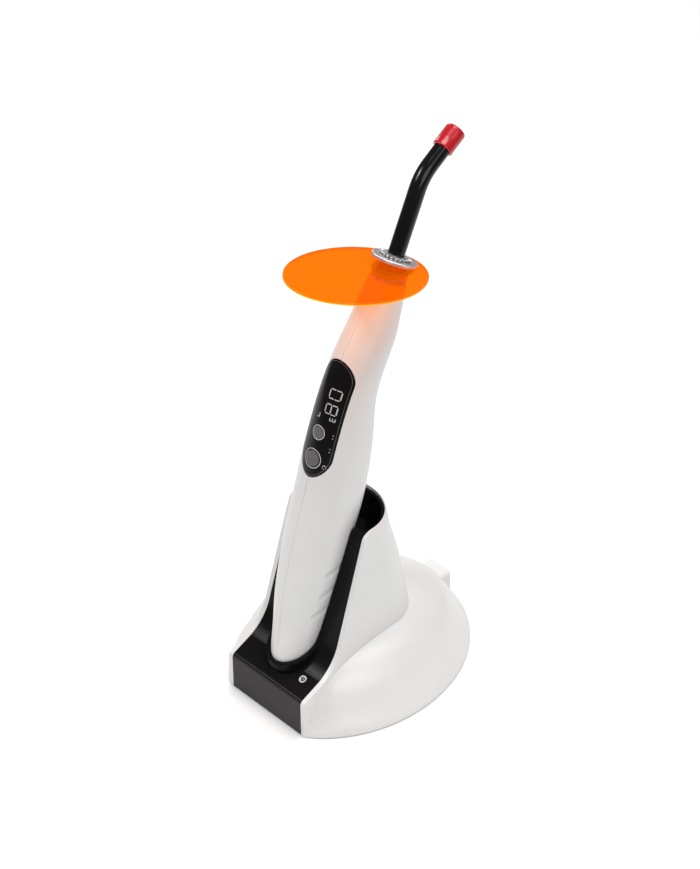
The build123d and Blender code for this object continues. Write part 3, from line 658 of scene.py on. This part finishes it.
def attribute(tree, name):
    """A number stored on the mesh."""
    node = tree.nodes.new("ShaderNodeAttribute")
    node.attribute_name = name
    return node.outputs["Fac"]


def combined(tree, value, kind, other):
    """One value worked on by another: their product, the larger of the two, or the like."""
    step = tree.nodes.new("ShaderNodeMath")
    step.operation = kind
    tree.links.new(value, step.inputs[0])
    tree.links.new(other, step.inputs[1])
    return step.outputs["Value"]


def painted_glow_material(name, through, skin, share, rough):
    """A clear dyed plastic with a painted glow: it gives off light on its outer faces, most on its
    underside, where the painted glow lights the neck orange, and yellower at its rim; it is denser at its
    rim and its hub, and painted dark brown at its hub as shade.
    """
    made, tree, shader = new_material(name)
    edge, core, under = attribute(tree, "edge"), attribute(tree, "core"), attribute(tree, "under")
    # painted shade: the hub is coloured dark brown for the metal inside that darkens it
    tree.links.new(blend(tree, core, skin, (0.16, 0.03, 0.006)), shader.inputs["Base Color"])
    uneven = noise(tree, 160, 3.0)
    tree.links.new(spread(tree, uneven, rough * 0.85, rough * 1.2), shader.inputs["Roughness"])
    shader.inputs["Specular IOR Level"].default_value = 0.25
    # painted glow: though no lamp, the plastic gives off light on its outer faces, strongest underneath,
    # which lights the neck orange, and yellower but weaker at the rim
    warm = combined(tree, edge, "MAXIMUM", under)
    tree.links.new(blend(tree, warm, (1.0, 0.25, 0.0), (1.0, 0.42, 0.0)), shader.inputs["Emission Color"])
    outside = spread(tree, tree.nodes.new("ShaderNodeNewGeometry").outputs["Backfacing"], 1.0, 0.0)
    painted_emission = combined(tree, spread(tree, under, 0.8, 5.0), "MULTIPLY", outside)
    painted_emission = combined(tree, painted_emission, "MULTIPLY", spread(tree, noise(tree, 45, 2.0, (1, 0.25, 1)), 0.92, 1.06))
    painted_emission = combined(tree, painted_emission, "MULTIPLY", spread(tree, core, 1.0, 0.03))
    painted_emission = combined(tree, painted_emission, "MULTIPLY", spread(tree, edge, 1.0, 0.3))
    tree.links.new(painted_emission, shader.inputs["Emission Strength"])
    clear = tree.nodes.new("ShaderNodeBsdfTransparent")
    clear.inputs["Color"].default_value = (*through, 1)
    dense = combined(tree, spread(tree, edge, share, 0.6), "MAXIMUM", spread(tree, core, 0.0, 0.62))
    mix = tree.nodes.new("ShaderNodeMixShader")
    tree.links.new(dense, mix.inputs["Fac"])
    tree.links.new(clear.outputs["BSDF"], mix.inputs[1])
    tree.links.new(shader.outputs["BSDF"], mix.inputs[2])
    tree.links.new(mix.outputs["Shader"], tree.nodes["Material Output"].inputs["Surface"])
    return made


def with_front(name, front_y):
    """Glossy black that turns, in front of a plane across Y given in metres, to a rougher finish painted
    lighter grey; the grey is a painted reflection of the bright floor on the front face.
    """
    made, tree, shader = new_material(name)
    place = tree.nodes.new("ShaderNodeTexCoord")
    split = tree.nodes.new("ShaderNodeSeparateXYZ")
    tree.links.new(place.outputs["Object"], split.inputs["Vector"])
    front = spread(tree, split.outputs["Y"], 1.0, 0.0, front_y, front_y + 0.0008)
    patches = noise(tree, 40, 2.0)
    gloss = blend(tree, patches, (0.006, 0.006, 0.006), (0.009, 0.008, 0.009))
    # painted reflection: the front face is coloured lighter grey for the floor's light it reflects
    painted_reflection_grey = blend(tree, patches, (0.050, 0.046, 0.048), (0.058, 0.053, 0.055))
    mix = tree.nodes.new("ShaderNodeMix")
    mix.data_type = "RGBA"
    tree.links.new(front, mix.inputs["Factor"])
    tree.links.new(gloss, mix.inputs["A"])
    tree.links.new(painted_reflection_grey, mix.inputs["B"])
    tree.links.new(mix.outputs["Result"], shader.inputs["Base Color"])
    tree.links.new(spread(tree, front, 0.2, 0.5, 0.0, 1.0), shader.inputs["Roughness"])
    bump(tree, shader, noise(tree, 1800, 2.0), 0.00001)
    shader.inputs["Specular IOR Level"].default_value = 0.07
    return made


# name: two close tones, roughness, grain of the relief, its depth in metres, and what else differs
SURFACES = {
    "white_plastic": ((0.73, 0.73, 0.725), (0.77, 0.77, 0.76), 0.36, 2600, 0.00003, {"patches": 22}),
    "black_gloss": ((0.004, 0.004, 0.005), (0.007, 0.006, 0.007), 0.16, 1800, 0.00001, {"specular": 0.18}),
    "guide_black": ((0.002, 0.002, 0.003), (0.004, 0.004, 0.005), 0.16, 1800, 0.00001, {"specular": 0.32}),
    "black_matte": ((0.024, 0.024, 0.026), (0.034, 0.034, 0.036), 0.55, 3000, 0.00004, {}),
    "bright_metal": ((0.80, 0.77, 0.78), (0.86, 0.83, 0.84), 0.34, 1500, 0.00001, {"metal": 1.0}),
    "turned_metal": ((0.52, 0.53, 0.55), (0.62, 0.63, 0.65), 0.28, 1600, 0.00002, {"metal": 1.0}),
    "steel": ((0.48, 0.48, 0.50), (0.58, 0.58, 0.60), 0.32, 1500, 0.00002, {"metal": 1.0}),
    "ballast": ((0.16, 0.16, 0.17), (0.22, 0.22, 0.22), 0.62, 1200, 0.00010, {"metal": 0.8}),
    "brass": ((0.75, 0.56, 0.22), (0.83, 0.66, 0.31), 0.22, 1500, 0.00001, {"metal": 1.0}),
    "board_green": ((0.02, 0.16, 0.07), (0.03, 0.21, 0.10), 0.38, 900, 0.00003, {}),
    "lead_red": ((0.42, 0.03, 0.02), (0.50, 0.05, 0.03), 0.45, 1500, 0.00002, {}),
    "foot_rubber": ((0.030, 0.030, 0.031), (0.045, 0.045, 0.045), 0.75, 2200, 0.00006, {}),
    "lamp_clear": ((0.10, 0.11, 0.11), (0.16, 0.17, 0.17), 0.18, 1800, 0.00001, {"coat": 0.5}),
    "display_light": ((0.48, 0.49, 0.50), (0.62, 0.63, 0.64), 0.35, 2600, 0.00001, {}),
    "button_grey": ((0.10, 0.10, 0.10), (0.135, 0.135, 0.135), 0.40, 2600, 0.00003, {}),
    "cell_wrap": ((0.04, 0.20, 0.42), (0.06, 0.26, 0.50), 0.30, 900, 0.00003, {}),
    "fibre_glass": ((0.42, 0.44, 0.46), (0.55, 0.57, 0.60), 0.12, 4000, 0.00002, {"coat": 0.6}),
    "red_silicone": ((0.44, 0.003, 0.010), (0.52, 0.005, 0.014), 0.24, 1400, 0.00001, {"coat": 0.25}),
}
MATERIALS = {}
for name, (first, second, rough, grain, depth, more) in SURFACES.items():
    MATERIALS[name] = surface(name, first, second, rough, grain, depth, **more)
MATERIALS["orange_filter"] = painted_glow_material("orange_filter", (1.0, 0.40, 0.02), (1.0, 0.17, 0.0), 0.22, 0.14)
for part in frame["record"]["subparts"]:
    node = frame["nodes"][part["node"]]
    node.data.materials.clear()
    node.data.materials.append(MATERIALS[part["material_slot"]])
insert = frame["nodes"]["cradle_insert"]
insert.data.materials.clear()
insert.data.materials.append(with_front("insert_black", FRONT_Y * 0.001))


def place(piece, body, material, slot, *nodes):
    """Give a piece its material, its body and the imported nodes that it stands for."""
    piece.data.materials.clear()
    piece.data.materials.append(MATERIALS[material])
    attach(piece, body)
    if nodes:
        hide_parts(*nodes)


def printed(piece):
    """A lit or printed line of the panel."""
    place(piece, "handpiece", "display_light", "display_light")


def button(body, s, r):
    """A button's face, on the button's own body."""
    place(button_cap(body + "_face", s, r), body, "button_grey", "button_grey", body)


place(casing(), "handpiece", "white_plastic", "white_plastic", "left_shell", "right_shell")
place(panel(), "handpiece", "black_gloss", "black_gloss", "display_window")
place(panel_border(), "handpiece", "button_grey", "button_grey")
place(display_marks(), "handpiece", "display_light", "display_light", "display_segments")
printed(raised_ring("power_ring", 0, POWER_S, 4.4, 0.36, 0.1))
printed(raised_ring("power_sign", 6.35, 98.6, 0.8, 0.24, 0.03))
printed(raised_ring("mode_ring", 0, MODE_S, 3.2, 0.4, 0.12))
button("power_button", POWER_S, POWER_R)
button("mode_button", MODE_S, MODE_R)
place(light_guide(), "light_guide", "guide_black", "black_gloss", "guide_jacket")
place(collar(), "light_guide", "bright_metal", "bright_metal", "guide_collar")
place(crown(), "light_guide", "bright_metal", "bright_metal")
place(crown_bed(), "light_guide", "black_matte", "bright_metal")
place(shield(), "light_shield", "orange_filter", "orange_filter", "light_shield")
place(cap(), "tip_cap", "red_silicone", "red_silicone", "tip_cap")

# --- floor, lights and camera ---------------------------------------------------------------------
# half width of the floor, and where it is white: within WHITE_R of a place, and darker from DARK_R; the
# white patch is painted light round the stand and the darker floor beyond is painted shade
FLOOR_HALF, WHITE_AT, WHITE_R, DARK_R = 6, (-0.3, 0.3, 0), 0.66, 1.05
floor_mesh = bpy.data.meshes.new("floor")
corners = [(x * FLOOR_HALF, y * FLOOR_HALF, 0) for x, y in ((-1, -1), (1, -1), (1, 1), (-1, 1))]
floor_mesh.from_pydata(corners, [], [(0, 1, 2, 3)])
floor = bpy.data.objects.new("floor", floor_mesh)
bpy.context.scene.collection.objects.link(floor)
paper, tree, shader = new_material("floor_white")
place_on_floor = tree.nodes.new("ShaderNodeTexCoord")
reach = tree.nodes.new("ShaderNodeVectorMath")
reach.operation = "DISTANCE"
reach.inputs[1].default_value = WHITE_AT
tree.links.new(place_on_floor.outputs["Object"], reach.inputs[0])
# painted light and shade on the floor: white near the stand, fading to grey further off
away = spread(tree, reach.outputs["Value"], 0.3, 0.7, WHITE_R, DARK_R)
tone = blend(tree, away, (0.97, 0.97, 0.97), (0.40, 0.40, 0.40))
tree.links.new(tone, shader.inputs["Base Color"])
shader.inputs["Roughness"].default_value = 0.8
shader.inputs["Specular IOR Level"].default_value = 0.1
floor.data.materials.append(paper)

world = bpy.data.worlds.new("studio")
world.use_nodes = True
world.node_tree.nodes["Background"].inputs["Color"].default_value = (1.0, 1.0, 1.0, 1)
world.node_tree.nodes["Background"].inputs["Strength"].default_value = 0.2
bpy.context.scene.world = world


def soft_light(name, position, target, width, height, watts):
    """A rectangular soft light aimed at a point, in metres."""
    data = bpy.data.lights.new(name, "AREA")
    data.shape, data.size, data.size_y, data.energy = "RECTANGLE", width, height, watts
    lamp = bpy.data.objects.new(name, data)
    bpy.context.scene.collection.objects.link(lamp)
    lamp.location = position
    lamp.rotation_euler = (Vector(target) - Vector(position)).to_track_quat("-Z", "Y").to_euler()


soft_light("key", (-0.55, -0.75, 0.95), (0, 0, 0.1), 0.4, 0.4, 2.9)
soft_light("strip", (-0.54, -0.58, 0.92), (0, 0.06, 0.24), 0.3, 0.2, 2.2)
soft_light("fill", (0.95, -0.3, 0.7), (0, 0, 0.1), 0.7, 0.7, 3.6)
soft_light("top", (0.2, 0.3, 2.0), (0, 0.2, 0.1), 1.2, 1.2, 30)
soft_light("back", (-0.86, 0.50, 0.50), (0, 0, 0.2), 0.3, 0.3, 1.5)

azimuth, elevation, distance = math.radians(44.63), math.radians(37.34), 0.87635
target = Vector((0.00005, -0.00077, 0.13034))
level = Vector((math.sin(azimuth), -math.cos(azimuth), 0)) * math.cos(elevation)
back = level + Vector((0, 0, math.sin(elevation)))
camera_data = bpy.data.cameras.new("camera")
camera_data.lens, camera_data.sensor_width, camera_data.clip_end = 83.25, 36, 30
camera = bpy.data.objects.new("camera", camera_data)
bpy.context.scene.collection.objects.link(camera)
camera.location = target + back * distance
camera.rotation_euler = back.to_track_quat("Z", "Y").to_euler()
bpy.context.scene.camera = camera
bpy.context.scene.view_settings.view_transform = "Standard"
